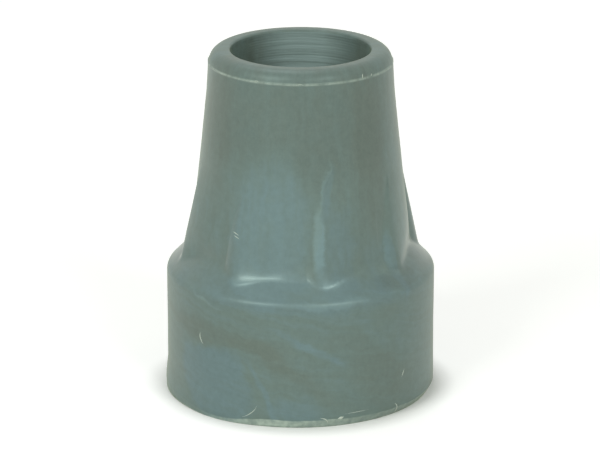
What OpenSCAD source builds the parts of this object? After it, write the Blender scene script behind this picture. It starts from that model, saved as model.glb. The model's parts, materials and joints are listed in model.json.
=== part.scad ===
// Push-on rubber tip for a walking cane, moulded in one piece.
//
// The cane's end presses down into a blind socket. A drafted neck grips it, eight
// buttress ribs carry the load from the neck out to a sloping shoulder, and a thick
// round foot stands on the ground on a ringed tread. The ground is Z = 0, and Z is
// the axis of the cane.

/* [Socket] */
// Diameter of the cane, and so of the socket
cane_d = 19; // [12:0.5:21]
// Depth of the blind socket below the mouth
socket_depth = 33; // [20:0.5:38]
// Round on the edge of the socket's mouth
mouth_round = 0.35; // [0.2:0.05:0.6]

/* [Neck] */
// Height of the whole tip
tip_h = 47.8; // [44:0.2:60]
// Rubber around the socket, just under the parting line
neck_wall = 3; // [2.4:0.1:4]
// Height of the crown above the parting line, and the round on its outer edge
crown_h = 1.7; // [1:0.1:2]
// How far the crown stands back from the parting line
parting_step = 0.1; // [0.05:0.05:0.3]
// Height of the collar, the nearly straight band under the parting line
collar_h = 4; // [2:0.5:6]
// Draft of the collar, in degrees
collar_draft = 3; // [1:0.5:5]
// Draft of the neck below the collar, in degrees
neck_draft = 6; // [4:0.5:7]
// Fillet where the neck runs out into the shoulder
neck_fillet = 0.8; // [0.3:0.1:1.2]

/* [Foot] */
// Diameter of the foot's wall
foot_d = 36.6; // [35:0.2:48]
// Height of the foot's wall, up to the edge of the shoulder
foot_h = 17.25; // [14:0.25:20]
// Slope of the shoulder above the level, in degrees
shoulder_slope = 45; // [35:1:50]
// Round on the shoulder's edge
shoulder_round = 1.3; // [0.5:0.1:2]
// How far the wall flares out at the trim line
flare = 0.3; // [0.1:0.05:0.5]
// Height at which the flare begins
flare_h = 4; // [3:0.5:8]
// Height of the trim line, which is the top of the chamfer
trim_h = 1; // [0.5:0.1:2]
// How far the chamfer cuts in under the trim line
trim_depth = 0.4; // [0.2:0.1:0.8]

/* [Ribs] */
// Number of buttress ribs around the neck
rib_count = 8; // [4:1:8]
// Angle from the front to the first rib, in degrees
rib_turn = 12; // [0:0.5:45]
// How far the ribs run up the neck from the shoulder
rib_run = 12; // [8:0.5:14]
// Draft of a rib's ridge, in degrees
rib_draft = 12.5; // [10:0.5:14]
// Radius of a rib at the foot
rib_foot_r = 3.2; // [2:0.1:3.4]
// Radius of a rib at its top
rib_top_r = 1.4; // [0.8:0.1:2]

/* [Tread] */
// Number of ring grooves in the underside
groove_count = 3; // [1:1:3]
// Width of a groove at the ground
groove_w = 1.8; // [1:0.1:2]
// Depth of a groove
groove_depth = 1.8; // [1:0.1:3]
// Width of the land outside each groove
land_w = 2.4; // [1.5:0.1:2.5]
// Draft of a groove's walls, in degrees
groove_draft = 8; // [4:1:12]

/* [Hidden] */
$fn = 96;
arc_steps = 8;

socket_r = cane_d / 2;
floor_z = tip_h - socket_depth;

parting_z = tip_h - crown_h;
parting_r = socket_r + neck_wall;
collar_z = parting_z - collar_h;
collar_r = parting_r + collar_h * tan(collar_draft);

wall_r = foot_d / 2;
trim_r = wall_r + flare;
ground_r = trim_r - trim_depth;

// The neck's line meets the shoulder's line at the neck's root.
root_z = (foot_h + (wall_r - collar_r - collar_z * tan(neck_draft)) * tan(shoulder_slope))
    / (1 - tan(neck_draft) * tan(shoulder_slope));

rib_top_z = root_z + rib_run;
// Level land that the crown keeps, at the least, beside the mouth
crown_land = 0.2;
// How far a rib's top end runs on inside the neck
rib_sink = 1.2;

// Radius of the neck at a height
function neck_r(z) = collar_r + (collar_z - z) * tan(neck_draft);

// Radius out to a rib's ridge at a height
function ridge_r(z) = neck_r(rib_top_z) + (rib_top_z - z) * tan(rib_draft);

// Point at a distance from the origin, in the direction of an angle
function polar(distance, angle) = distance * [cos(angle), sin(angle)];

// Points along an arc, from one angle to another
function arc(centre, radius, start, end) = [
    for (i = [0 : arc_steps])
        centre + polar(radius, start + (end - start) * i / arc_steps)
];

// Points that round a corner of an outline. The edge before the corner lies in
// the direction back from it, and the edge after it in the direction ahead.
function rounded(corner, back, ahead, radius) =
    let (
        side = sign(ahead - back),
        centre = corner + polar(radius / sin(abs(ahead - back) / 2), (back + ahead) / 2)
    )
    arc(centre, radius, back - side * 90, ahead + side * 90 - side * 360);

// One ring groove of the tread, from its inner edge to its outer edge
function groove(outer_r) =
    let (slant = groove_depth * tan(groove_draft))
    [
        [outer_r - groove_w, 0],
        [outer_r - groove_w + slant, groove_depth],
        [outer_r - slant, groove_depth],
        [outer_r, 0],
    ];

// Underside from the axis outwards: flat lands with the grooves between them
function underside() = [
    [0, 0],
    for (i = [groove_count - 1 : -1 : 0])
        each groove(ground_r - land_w - i * (groove_w + land_w)),
    [ground_r, 0],
];

// Outer side from the chamfer up to the parting line
function outer_side() = [
    [trim_r, trim_h],
    [wall_r, flare_h],
    each rounded([wall_r, foot_h], -90, -180 - shoulder_slope, shoulder_round),
    each rounded([neck_r(root_z), root_z], -shoulder_slope, 90 + neck_draft, neck_fillet),
    [collar_r, collar_z],
    [parting_r, parting_z],
];

// Crown from the parting line over to the socket's mouth: a round, then level. The
// round keeps within the wall, so a thin wall gets a smaller one.
function crown() =
    let (
        radius = min(crown_h, neck_wall - parting_step - mouth_round - crown_land),
        centre = [parting_r - parting_step - radius, tip_h - radius]
    )
    arc(centre, radius, 0, 90);

// Socket from the mouth down to the middle of its floor
function socket() = [
    each rounded([socket_r, tip_h], 0, -90, mouth_round),
    [socket_r, floor_z],
    [0, floor_z],
];

// The turned part of the tip, revolved from its half-section
module body() {
    rotate_extrude()
        polygon([each underside(), each outer_side(), each crown(), each socket()]);
}

// One buttress: a slim cone that leans on the neck, from inside the foot up to
// where its ridge sinks into the neck
module rib() {
    top_z = rib_top_z + rib_sink;
    low = [ridge_r(foot_h) - rib_foot_r, foot_h];
    high = [ridge_r(top_z) - rib_top_r, top_z];
    lean = atan2(low.x - high.x, high.y - low.y);
    translate([low.x, 0, low.y])
        rotate([0, -lean, 0])
            cylinder(h = norm(high - low), r1 = rib_foot_r, r2 = rib_top_r);
}

module ribs() {
    for (i = [0 : rib_count - 1])
        rotate(i * 360 / rib_count + rib_turn - 90)
            rib();
}

module cane_tip() {
    color("#6F807A") {
        body();
        ribs();
    }
}

cane_tip();
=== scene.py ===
# %% [markdown]
# # A rubber cane tip
#
# A cane tip is the rubber shoe on the end of a walking cane. It is pressed from one lump of
# grey rubber in a steel mould, so it is one piece here too: a blind socket inside a drafted
# neck, eight buttress ribs, a sloping shoulder and a thick round foot on a ringed tread.
#
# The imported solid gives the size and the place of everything. This script gives the tip the
# surface that the real one has: the soft run-out of the ribs, the thin flash at the parting
# line, the rough trimmed edge at the ground, and marbled rubber. It starts with the packed
# part, which is never moved or resized, because other parts are fitted to it.

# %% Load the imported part
import json
import math

import bpy
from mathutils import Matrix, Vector
from mathutils.bvhtree import BVHTree

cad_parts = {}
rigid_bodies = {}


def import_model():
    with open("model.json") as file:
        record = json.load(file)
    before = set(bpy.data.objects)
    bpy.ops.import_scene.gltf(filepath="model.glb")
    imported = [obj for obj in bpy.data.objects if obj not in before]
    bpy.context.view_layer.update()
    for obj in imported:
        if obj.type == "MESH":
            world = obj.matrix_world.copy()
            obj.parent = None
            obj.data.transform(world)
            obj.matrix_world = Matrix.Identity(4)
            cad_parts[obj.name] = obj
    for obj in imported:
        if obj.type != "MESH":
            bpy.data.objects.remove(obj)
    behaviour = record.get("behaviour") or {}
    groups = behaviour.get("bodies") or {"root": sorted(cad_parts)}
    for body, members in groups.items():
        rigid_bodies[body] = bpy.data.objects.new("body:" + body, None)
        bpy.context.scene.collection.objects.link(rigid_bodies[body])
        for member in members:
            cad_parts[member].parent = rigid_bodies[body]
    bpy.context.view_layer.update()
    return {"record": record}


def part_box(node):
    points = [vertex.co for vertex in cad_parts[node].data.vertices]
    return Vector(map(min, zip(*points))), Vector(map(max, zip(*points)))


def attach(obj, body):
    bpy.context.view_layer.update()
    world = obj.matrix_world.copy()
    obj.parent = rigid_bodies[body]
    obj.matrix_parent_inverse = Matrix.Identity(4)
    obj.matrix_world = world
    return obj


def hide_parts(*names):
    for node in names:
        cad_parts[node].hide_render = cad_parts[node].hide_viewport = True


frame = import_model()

# %% [markdown]
# ## Sizes
#
# Blender works in metres, and a tip like this is thought of in millimetres, so every size is
# written in millimetres and turned to metres where a mesh or a node needs it. The overall
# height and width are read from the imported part, and the socket from its mount. They could
# be typed in again, but then they would stay behind when the part changes. The other sizes
# are the ones that the mould maker would write on the drawing.

# %% Sizes of the tip, in millimetres
MM = 0.001

tip_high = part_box("cane_tip")[1]
TIP_H = tip_high.z / MM
TRIM_R = tip_high.x / MM

socket_mount = next(mount for mount in frame["record"]["mounts"] if mount["name"] == "socket")
SOCKET_R = socket_mount["dims"]["r_mm"]
SOCKET_DEPTH = 33.0
MOUTH_ROUND = 0.35

NECK_WALL = 3.0
CROWN_H = 1.7
PARTING_STEP = 0.1
COLLAR_H = 4.0
COLLAR_DRAFT = math.radians(3)
NECK_DRAFT = math.radians(6)

FLARE = 0.3
FLARE_H = 4.0
FOOT_H = 17.25
SHOULDER_ROUND = 1.3
SHOULDER_SLOPE = math.radians(45)
TRIM_H = 1.0
TRIM_DEPTH = 0.4

FOOT_R = TRIM_R - FLARE
GROUND_R = TRIM_R - TRIM_DEPTH
PARTING_Z = TIP_H - CROWN_H
PARTING_R = SOCKET_R + NECK_WALL
COLLAR_Z = PARTING_Z - COLLAR_H
COLLAR_R = PARTING_R + COLLAR_H * math.tan(COLLAR_DRAFT)
print(f"tip {TIP_H:.1f} mm high, foot {2 * FOOT_R:.1f} mm across, socket {2 * SOCKET_R:.1f} mm")

# %% [markdown]
# ## Camera
#
# A wide lens from close by would make the foot taper towards the ground. A long lens from
# well back keeps its sides upright. So the camera stands half a metre away, a little above
# the tip, and sees just the top of the socket's far wall. It is made first, because every
# later choice of detail depends on how large a millimetre shows.

# %% Camera, placed in millimetres
CAMERA_DISTANCE = 520
CAMERA_ELEVATION = math.radians(17.94)
CAMERA_TARGET_Z = 22.7
CAMERA_ASIDE = -0.08
LENS = 228.1
SENSOR_W = 36.0

camera_data = bpy.data.cameras.new("product_camera")
camera_data.sensor_width = SENSOR_W
camera_data.lens = LENS
camera = bpy.data.objects.new("product_camera", camera_data)
bpy.context.scene.collection.objects.link(camera)
camera_back = CAMERA_DISTANCE * math.cos(CAMERA_ELEVATION)
camera_up = CAMERA_DISTANCE * math.sin(CAMERA_ELEVATION)
camera.location = Vector((CAMERA_ASIDE, -camera_back, CAMERA_TARGET_Z + camera_up)) * MM
camera.rotation_euler = (math.pi / 2 - CAMERA_ELEVATION, 0, 0)
bpy.context.scene.camera = camera
print("camera in metres:", tuple(round(value, 4) for value in camera.location))

# %% [markdown]
# ## Half-section
#
# A mould for a round rubber part is turned on a lathe, so the part is described by the
# outline of half its section: from the middle of the tread out to the ground edge, up the
# foot, over the shoulder, up the neck, over the crown and down into the socket. The outline
# could be a curve with handles, but a list of straight stretches and arcs, each cut into
# short steps, keeps control of how many rows of faces each part of the tip gets. A stretch
# ends with the longest step that it may take, in millimetres, and an arc with its count of
# steps.

# %% Points along straight stretches and arcs
def stretch(start, end, step):
    """Points from start towards end, without the end, no further apart than step."""
    count = max(1, math.ceil(math.dist(start, end) / step))
    return [
        tuple(a + (b - a) * i / count for a, b in zip(start, end))
        for i in range(count)
    ]


def arc(centre, radius, start, end, count):
    """Points along an arc from one angle to another, both ends included."""
    angles = [start + (end - start) * i / count for i in range(count + 1)]
    return [(centre[0] + radius * math.cos(a), centre[1] + radius * math.sin(a)) for a in angles]


def rounded(corner, back, ahead, radius, count):
    """Points that round a corner whose edges lie in the directions back and ahead."""
    side = math.copysign(1, ahead - back)
    reach = radius / math.sin(abs(ahead - back) / 2)
    middle = (back + ahead) / 2
    centre = (corner[0] + reach * math.cos(middle), corner[1] + reach * math.sin(middle))
    start = back - side * math.pi / 2
    end = ahead + side * math.pi / 2 - side * 2 * math.pi
    return arc(centre, radius, start, end, count)


def joined(lists, step):
    """One outline through several lists of points, with the gaps between them filled."""
    outline = []
    for points in lists:
        if outline:
            outline += stretch(outline[-1], points[0], step)[1:]
        outline += points
    return outline


quarter_round = rounded((10, 10), math.pi, -math.pi / 2, 1, 4)
print("a corner at 10, 10 rounded in 4 steps:")
for point in quarter_round:
    print("   ", [round(value, 2) for value in point])

# %% Tread: flat lands and drafted ring grooves
GROOVE_COUNT = 3
GROOVE_W = 1.8
GROOVE_DEPTH = 1.8
GROOVE_DRAFT = math.radians(8)
GROOVE_ROUND = 0.25
LAND_W = 2.4


def groove(outer_r):
    """One ring groove from its inner edge to its outer edge, with eased corners."""
    slant = GROOVE_DEPTH * math.tan(GROOVE_DRAFT)
    inner_r = outer_r - GROOVE_W
    wall = math.pi / 2 - GROOVE_DRAFT
    return [
        *rounded((inner_r, 0), math.pi, wall, GROOVE_ROUND, 2),
        *rounded((inner_r + slant, GROOVE_DEPTH), wall - math.pi, 0, GROOVE_ROUND, 2),
        *rounded((outer_r - slant, GROOVE_DEPTH), math.pi, 2 * math.pi - wall, GROOVE_ROUND, 2),
        *rounded((outer_r, 0), math.pi - wall, 0, GROOVE_ROUND, 2),
    ]


def tread():
    """Underside from the axis out to the last land."""
    outline = [(0, 0)]
    for i in reversed(range(GROOVE_COUNT)):
        outline += groove(GROUND_R - LAND_W - i * (GROOVE_W + LAND_W))
    return outline


print("points in the tread's outline:", len(tread()))

# %% [markdown]
# ## Foot, neck and ribs as three simple rules
#
# The outside is not one form. The mould maker first turns the foot with its 45 degree
# shoulder and the drafted neck, and then cuts the eight ribs, so the real surface is three
# simple forms that run into each other. Each row of the half-section therefore carries the
# radius that the foot alone would have at that height, the radius that the neck alone would
# have, and how high and how wide a rib is there. The node tree below joins the three. They
# could be three meshes joined by a Boolean, but that would cut a hard crease between them.

# %% Foot and neck at a height
neck_tan = math.tan(NECK_DRAFT)
shoulder_tan = math.tan(SHOULDER_SLOPE)
neck_at_zero = COLLAR_R + COLLAR_Z * neck_tan
root_z = (FOOT_H + (FOOT_R - neck_at_zero) * shoulder_tan) / (1 - neck_tan * shoulder_tan)


def neck_r(z):
    """Radius of the neck, and of the steeper collar at its top."""
    if z > COLLAR_Z:
        return PARTING_R + (PARTING_Z - z) * math.tan(COLLAR_DRAFT)
    return COLLAR_R + (COLLAR_Z - z) * neck_tan


def shoulder_r(z):
    """Radius of the shoulder's slope, carried on above the neck's root."""
    return FOOT_R - (z - FOOT_H) / shoulder_tan


print(f"the neck's root is {root_z:.2f} mm up, where the foot and the neck meet")

# %% Rib at a height
# A rib's left side narrows from its foot to its point. Its right side spreads out as it
# climbs, up to where it is widest.
RIB_FOOT_Z = 19.5
RIB_POINT_Z = 31.4
RIB_TOP_Z = 32.3
RIB_RISE = 0.092
RIB_SPREAD_Z = 19.6
RIB_WIDE_Z = 24.5
RIB_SPREAD = 1.2


def rib_height(z):
    """How far a rib stands out from the neck."""
    return RIB_RISE * max(0, RIB_TOP_Z - z)


def rib_left(z):
    """Width of a rib's crisp left side, as a share of its width at the foot."""
    climbed = (z - RIB_FOOT_Z) / (RIB_POINT_Z - RIB_FOOT_Z)
    return 1 - min(1, max(0, climbed)) ** 2


def rib_right(z):
    """Width of a rib's soft right side, which spreads out above the foot."""
    climbed = min(1, max(0, (z - RIB_SPREAD_Z) / (RIB_WIDE_Z - RIB_SPREAD_Z)))
    return 1 + RIB_SPREAD * climbed ** 2 * (3 - 2 * climbed)


print(f"a plain rib is {RIB_TOP_Z - root_z:.1f} mm long, {rib_height(root_z):.2f} mm high at the root")

# %% Outline of the foot and the neck
# Each point of the trimmed lip is how far the wall stands back, and how far that is above the
# trim line. Each stage of the neck is its lowest and highest point and the step of its rows,
# which are closest where the surface bends most.
TRIM_LIP = [(0, 0), (0.03, 0.12), (0.05, 0.4), (0.07, 0.9)]
SLOPE_START_Z = FOOT_H + SHOULDER_ROUND * math.tan(SHOULDER_SLOPE / 2) * math.sin(SHOULDER_SLOPE)
NECK_STAGES = [
    (SLOPE_START_Z, 18.7, 0.24),
    (18.7, 20.3, 0.115),
    (20.3, 23.2, 0.26),
    (23.2, 32.5, 0.46),
    (32.5, 44.4, 1.1),
    (44.4, PARTING_Z - 0.45, 0.4),
    (PARTING_Z - 0.45, PARTING_Z, 0.09),
]


def foot_side():
    """Chamfer, trim line, flare, wall and rounded edge of the shoulder."""
    up_slope = -math.pi - SHOULDER_SLOPE
    shoulder_edge = rounded((FOOT_R, FOOT_H), -math.pi / 2, up_slope, SHOULDER_ROUND, 7)
    lip = [(TRIM_R - back, TRIM_H + rise) for back, rise in TRIM_LIP]
    return [
        *stretch((GROUND_R, 0), (TRIM_R, TRIM_H), 0.27),
        *lip[:-1],
        *stretch(lip[-1], (FOOT_R, FLARE_H), 1),
        *stretch((FOOT_R, FLARE_H), shoulder_edge[0], 1.3),
        *shoulder_edge[:-1],
    ]


def neck_side():
    """Shoulder slope, ribs, neck and collar, up to the parting line."""
    heights = []
    for start, end, step in NECK_STAGES:
        heights += [z for _, z in stretch((0, start), (0, end), step)]
    return [(max(shoulder_r(z), neck_r(z)), z) for z in heights]


print("rows in the foot and the neck:", len(foot_side()), "and", len(neck_side()))

# %% Outline of the crown and the socket
SOCKET_SEEN = 8
FLOOR_ROUND = 0.6


def crown_side():
    """Parting line, crown and rounded mouth."""
    round_r = PARTING_R - PARTING_STEP - CROWN_H
    crown = arc((round_r, PARTING_Z), CROWN_H, 0, math.pi / 2, 11)
    mouth = rounded((SOCKET_R, TIP_H), 0, -math.pi / 2, MOUTH_ROUND, 5)
    level = stretch(crown[-1], mouth[0], 0.45)
    return [(PARTING_R, PARTING_Z), *crown, *level[1:], *mouth]


def socket_side():
    """Socket wall and floor, down to the axis, with close rows only where they are seen."""
    floor_z = TIP_H - SOCKET_DEPTH
    top_z = TIP_H - MOUTH_ROUND
    return [
        *stretch((SOCKET_R, top_z - 0.4), (SOCKET_R, top_z - SOCKET_SEEN), 0.6),
        *stretch((SOCKET_R, top_z - SOCKET_SEEN), (SOCKET_R, floor_z + FLOOR_ROUND), 4),
        *rounded((SOCKET_R, floor_z), math.pi / 2, math.pi, FLOOR_ROUND, 3),
        *stretch((SOCKET_R - 2, floor_z), (0, floor_z), 3),
        (0, floor_z),
    ]


outline = joined([tread(), foot_side(), neck_side(), crown_side(), socket_side()], 3)
print("points in the half-section:", len(outline))

# %% Facts of a row of the half-section
PARTING_SPREAD = 0.22
TRIM_SPREAD = 2.2
CUT_LIP = 0.3
RIB_FADE = 2


def nearness(value, middle, spread):
    """1 at the middle, falling to 0 at the spread."""
    return max(0.0, 1 - abs(value - middle) / spread)


def row_facts(reach, height):
    """What the node tree needs to know about a row of the half-section."""
    outside = reach > SOCKET_R + 1 and height > 0
    foot_edge = reach > GROUND_R - 0.1
    trim = height / TRIM_H if height < TRIM_H else nearness(height, TRIM_H, TRIM_SPREAD)
    flared = 1.0 if height < TRIM_H else nearness(height, TRIM_H, FLARE_H - TRIM_H)
    faded = min(1, max(0, (RIB_TOP_Z + RIB_FADE - height) / RIB_FADE))
    ribbed = faded if outside and height > SLOPE_START_Z else 0.0
    return {
        "reach": reach * MM,
        "height": height * MM,
        "foot_reach": shoulder_r(height) * MM,
        "neck_reach": neck_r(height) * MM,
        "rib_height": rib_height(height) * MM,
        "rib_left": rib_left(height),
        "rib_right": rib_right(height),
        "ribbed": ribbed,
        "outside": float(outside),
        "at_parting": nearness(height, PARTING_Z, PARTING_SPREAD) if outside else 0.0,
        "at_trim": trim if foot_edge else 0.0,
        "at_ground": nearness(height, 0, TRIM_H) if foot_edge else 0.0,
        "at_flare": flared if foot_edge else 0.0,
        "cut_edge": float(foot_edge and height <= TRIM_H),
        "cut_lip": nearness(height, 0, CUT_LIP) if foot_edge else 0.0,
        "socket_wall": float(reach < SOCKET_R + 0.01 and height > TIP_H - SOCKET_DEPTH),
    }


rows = [row_facts(reach, height) for reach, height in outline]
print("facts of each row:", ", ".join(rows[0]))

# %% The half-section as a mesh of points and edges, with the facts as its attributes
half_section = bpy.data.meshes.new("half_section")
half_section.from_pydata(
    [(reach * MM, 0, height * MM) for reach, height in outline],
    [(i, i + 1) for i in range(len(outline) - 1)],
    [],
)
for name in rows[0]:
    values = half_section.attributes.new(name, "FLOAT", "POINT")
    values.data.foreach_set("value", [row[name] for row in rows])
tip = bpy.data.objects.new("rubber_tip", half_section)
bpy.context.scene.collection.objects.link(tip)
print("half-section:", len(half_section.vertices), "points")

# %% [markdown]
# ## Helpers for nodes
#
# The rubber's skin and its colours are both made by node trees, and a tree is a list of small
# steps. It could be drawn by hand in the node editor, but here one function adds a node, sets
# it up and links its inputs, so that each step of a tree stays one short statement.
#
# An input is named by its title, or by its place where several have the same title. Some
# nodes have hidden sockets for other kinds of value, so only the sockets in use are counted.
# An input that is given another node takes that node's first output.

# %% Add one node, or start a tree
def add(tree, kind, inputs=None, **settings):
    """A new node in a tree, with its settings, and its inputs set or linked."""
    node = tree.nodes.new(kind)
    for name, value in settings.items():
        setattr(node, name, value)
    for key, value in (inputs or {}).items():
        in_use = [socket for socket in node.inputs if socket.enabled]
        target = next(socket for i, socket in enumerate(in_use) if key in (i, socket.name))
        if isinstance(value, bpy.types.Node):
            value = next(socket for socket in value.outputs if socket.enabled)
        if isinstance(value, bpy.types.NodeSocket):
            tree.links.new(value, target)
        else:
            target.default_value = value
    return node


def new_tree(name, sizes):
    """A geometry node tree whose inputs are a geometry, the named sizes and a material."""
    tree = bpy.data.node_groups.new(name, "GeometryNodeTree")
    tree.is_modifier = True
    tree.interface.new_socket("Geometry", in_out="INPUT", socket_type="NodeSocketGeometry")
    for title, value in sizes.items():
        kind = "NodeSocketInt" if isinstance(value, int) else "NodeSocketFloat"
        tree.interface.new_socket(title, in_out="INPUT", socket_type=kind)
    tree.interface.new_socket("Material", in_out="INPUT", socket_type="NodeSocketMaterial")
    tree.interface.new_socket("Geometry", in_out="OUTPUT", socket_type="NodeSocketGeometry")
    return tree


print("helpers:", add.__name__, "and", new_tree.__name__)

# %% [markdown]
# ## The moulded body
#
# The body is a form that follows a rule: a half-section turned once round the axis, with the
# same rib cut eight times. It could be a lathe shape with eight joined ribs, but joined ribs
# leave a hard crease all round, and a real mould has a blend there. So a node tree turns the
# half-section into a grid and then moves each point out by a formula. The ribs, the fillets
# and the flash all stay in one closed skin.
#
# A mould like this is finished by hand, so no two places on it are quite the same. The sizes
# below say how it differs: from one rib to the next, and from one turn of the tip to another.
# A turn is the angle from the front, a core is how far to each side of that turn a feature
# is at its full strength, and at its spread it has faded out.

# %% Sizes of the moulded body: the inputs of its tree
BODY_SIZES = {
    "Columns": 540,
    # The ribs, from the crest to the end of each side
    "Rib Count": 8,
    "First Rib": math.radians(12.2),
    "Left Width": 2.45 * MM,
    "Right Width": 3.4 * MM,
    "Width Change": -0.3 * MM,
    "Height Change": 0.4,
    # The flare of the panels just above the shoulder
    "Foot Flare": 0.7 * MM,
    "Flare Height": 3.3 * MM,
    "Flare Turn": math.radians(8),
    "Flare Core": math.radians(40),
    "Flare Spread": math.radians(55),
    # The place where that flare is fuller, and by what share
    "Full Turn": math.radians(-31),
    "Full Spread": math.radians(17),
    "Fullness": 0.35,
    # The fillet in the neck's root
    "Crisp Root": 0.3 * MM,
    "Soft Root": 0.75 * MM,
    "Crisp Turn": math.radians(-2),
    "Crisp Core": math.radians(14),
    "Crisp Spread": math.radians(28),
    # What the press and the trimming knife leave
    "Unevenness": 0.12 * MM,
    "Flash": 0.1 * MM,
    "Trim Dip": 0.75 * MM,
    "Dip Turn": math.radians(-38),
    "Dip Spread": math.radians(24),
    "Trim Lean": 0.27 * MM,
    "Cut Roughness": 0.08 * MM,
    "Seed": 1441,
}
print("sizes of the body:", len(BODY_SIZES))

# %% Tree: turn the half-section round the axis
body_tree = new_tree("moulded_tip", BODY_SIZES)
given = add(body_tree, "NodeGroupInput").outputs
known = {
    name: add(body_tree, "GeometryNodeInputNamedAttribute", {"Name": name}, data_type="FLOAT")
    for name in [*rows[0], "turn"]
}

column = add(body_tree, "GeometryNodeInputIndex")
share = add(body_tree, "ShaderNodeMath", {0: column, 1: given["Columns"]}, operation="DIVIDE")
turn = add(body_tree, "ShaderNodeMath", {0: share, 1: math.tau}, operation="MULTIPLY")
ring = add(
    body_tree, "GeometryNodeCurvePrimitiveCircle",
    {"Resolution": given["Columns"], "Radius": MM},
)
turned_ring = add(
    body_tree, "GeometryNodeStoreNamedAttribute",
    {"Geometry": ring, "Name": "turn", "Value": turn}, data_type="FLOAT", domain="POINT",
)
section_curve = add(body_tree, "GeometryNodeMeshToCurve", {"Mesh": given["Geometry"]})
skin = add(
    body_tree, "GeometryNodeCurveToMesh",
    {"Curve": turned_ring, "Profile Curve": section_curve, "Fill Caps": False},
)
across = add(body_tree, "ShaderNodeMath", {0: known["turn"]}, operation="SINE")
ahead = add(body_tree, "ShaderNodeMath", {0: known["turn"]}, operation="COSINE")
back = add(body_tree, "ShaderNodeMath", {0: ahead, 1: -1}, operation="MULTIPLY")
outwards = add(body_tree, "ShaderNodeCombineXYZ", {"X": across, "Y": back})
print("turning", len(outline), "rows into", BODY_SIZES["Columns"], "columns")

# %% [markdown]
# ## Ribs
#
# A rib's section is a low rounded ridge. Its left side falls off crisply, and its right side
# runs out softly and spreads as it climbs, because the cutter that made the mould was tilted.
# The ribs could be eight meshes in a ring, but each would need its own blend into the neck.
# So every point of the skin asks which rib is nearest and how far to its side it lies, and
# stands out by the height of the section there.

# %% Tree: which rib a point is near, and how far to its side
# Of the room between two crests, this share belongs to the left side of the next rib.
LEFT_SHARE = 0.27
pitch = add(body_tree, "ShaderNodeMath", {0: math.tau, 1: given["Rib Count"]}, operation="DIVIDE")
room_right = add(body_tree, "ShaderNodeMath", {0: pitch, 1: 1 - LEFT_SHARE}, operation="MULTIPLY")
room_left = add(body_tree, "ShaderNodeMath", {0: pitch, 1: -LEFT_SHARE}, operation="MULTIPLY")
from_first = add(
    body_tree, "ShaderNodeMath",
    {0: known["turn"], 1: given["First Rib"]}, operation="SUBTRACT",
)
aside = add(body_tree, "ShaderNodeMath", {0: from_first, 1: room_right, 2: room_left}, operation="WRAP")
to_side = add(body_tree, "ShaderNodeMath", {0: aside, 1: known["neck_reach"]}, operation="MULTIPLY")
offset = add(body_tree, "ShaderNodeMath", {0: to_side}, operation="ABSOLUTE")
on_right = add(body_tree, "ShaderNodeMath", {0: to_side, 1: 0}, operation="GREATER_THAN")
pitches = add(body_tree, "ShaderNodeMath", {0: from_first, 1: pitch}, operation="DIVIDE")
past_left = add(body_tree, "ShaderNodeMath", {0: pitches, 1: LEFT_SHARE}, operation="ADD")
nearest = add(body_tree, "ShaderNodeMath", {0: past_left}, operation="FLOOR")
rib_number = add(body_tree, "ShaderNodeMath", {0: nearest, 1: given["Rib Count"], 2: 0}, operation="WRAP")
rib_id = add(body_tree, "FunctionNodeFloatToInt", {0: rib_number}, rounding_mode="ROUND")
first_rib = math.degrees(BODY_SIZES["First Rib"])
print("ribs:", BODY_SIZES["Rib Count"], "with the first at", round(first_rib, 1), "degrees")

# %% Tree: section of a rib
# A side falls as a power of the way out. Its softness blends its end into the neck.
LEFT_FALL = 2.0
RIGHT_FALL = 1.35
LEFT_SOFTNESS = 0.15
RIGHT_SOFTNESS = 0.8
NARROWEST = 0.01
change = add(
    body_tree, "FunctionNodeRandomValue",
    {"Min": -1.0, "Max": 1.0, "ID": rib_id, "Seed": given["Seed"]}, data_type="FLOAT",
)
width_change = add(body_tree, "ShaderNodeMath", {0: change, 1: given["Width Change"]}, operation="MULTIPLY")
right_width = add(body_tree, "ShaderNodeMath", {0: given["Right Width"], 1: width_change}, operation="ADD")
left_here = add(
    body_tree, "ShaderNodeMath",
    {0: given["Left Width"], 1: known["rib_left"]}, operation="MULTIPLY",
)
right_here = add(body_tree, "ShaderNodeMath", {0: right_width, 1: known["rib_right"]}, operation="MULTIPLY")
width = add(
    body_tree, "ShaderNodeMix",
    {"Factor": on_right, "A": left_here, "B": right_here}, data_type="FLOAT",
)
safe_width = add(body_tree, "ShaderNodeMath", {0: width, 1: NARROWEST * MM}, operation="MAXIMUM")
fraction = add(body_tree, "ShaderNodeMath", {0: offset, 1: safe_width}, operation="DIVIDE")
fall = add(
    body_tree, "ShaderNodeMix",
    {"Factor": on_right, "A": LEFT_FALL, "B": RIGHT_FALL}, data_type="FLOAT",
)
fallen = add(body_tree, "ShaderNodeMath", {0: fraction, 1: fall}, operation="POWER")
hill = add(body_tree, "ShaderNodeMath", {0: 1, 1: fallen}, operation="SUBTRACT")
low_hill = add(body_tree, "ShaderNodeMath", {0: hill, 1: -1}, operation="MAXIMUM")
softness = add(
    body_tree, "ShaderNodeMix",
    {"Factor": on_right, "A": LEFT_SOFTNESS, "B": RIGHT_SOFTNESS}, data_type="FLOAT",
)
section = add(body_tree, "ShaderNodeMath", {0: low_hill, 1: 0, 2: softness}, operation="SMOOTH_MAX")
taller = add(
    body_tree, "ShaderNodeMath",
    {0: change, 1: given["Height Change"], 2: 1}, operation="MULTIPLY_ADD",
)
height = add(body_tree, "ShaderNodeMath", {0: known["rib_height"], 1: taller}, operation="MULTIPLY")
straight = add(
    body_tree, "ShaderNodeMath",
    {0: section, 1: height, 2: known["neck_reach"]}, operation="MULTIPLY_ADD",
)
print("nodes so far:", len(body_tree.nodes))

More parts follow.
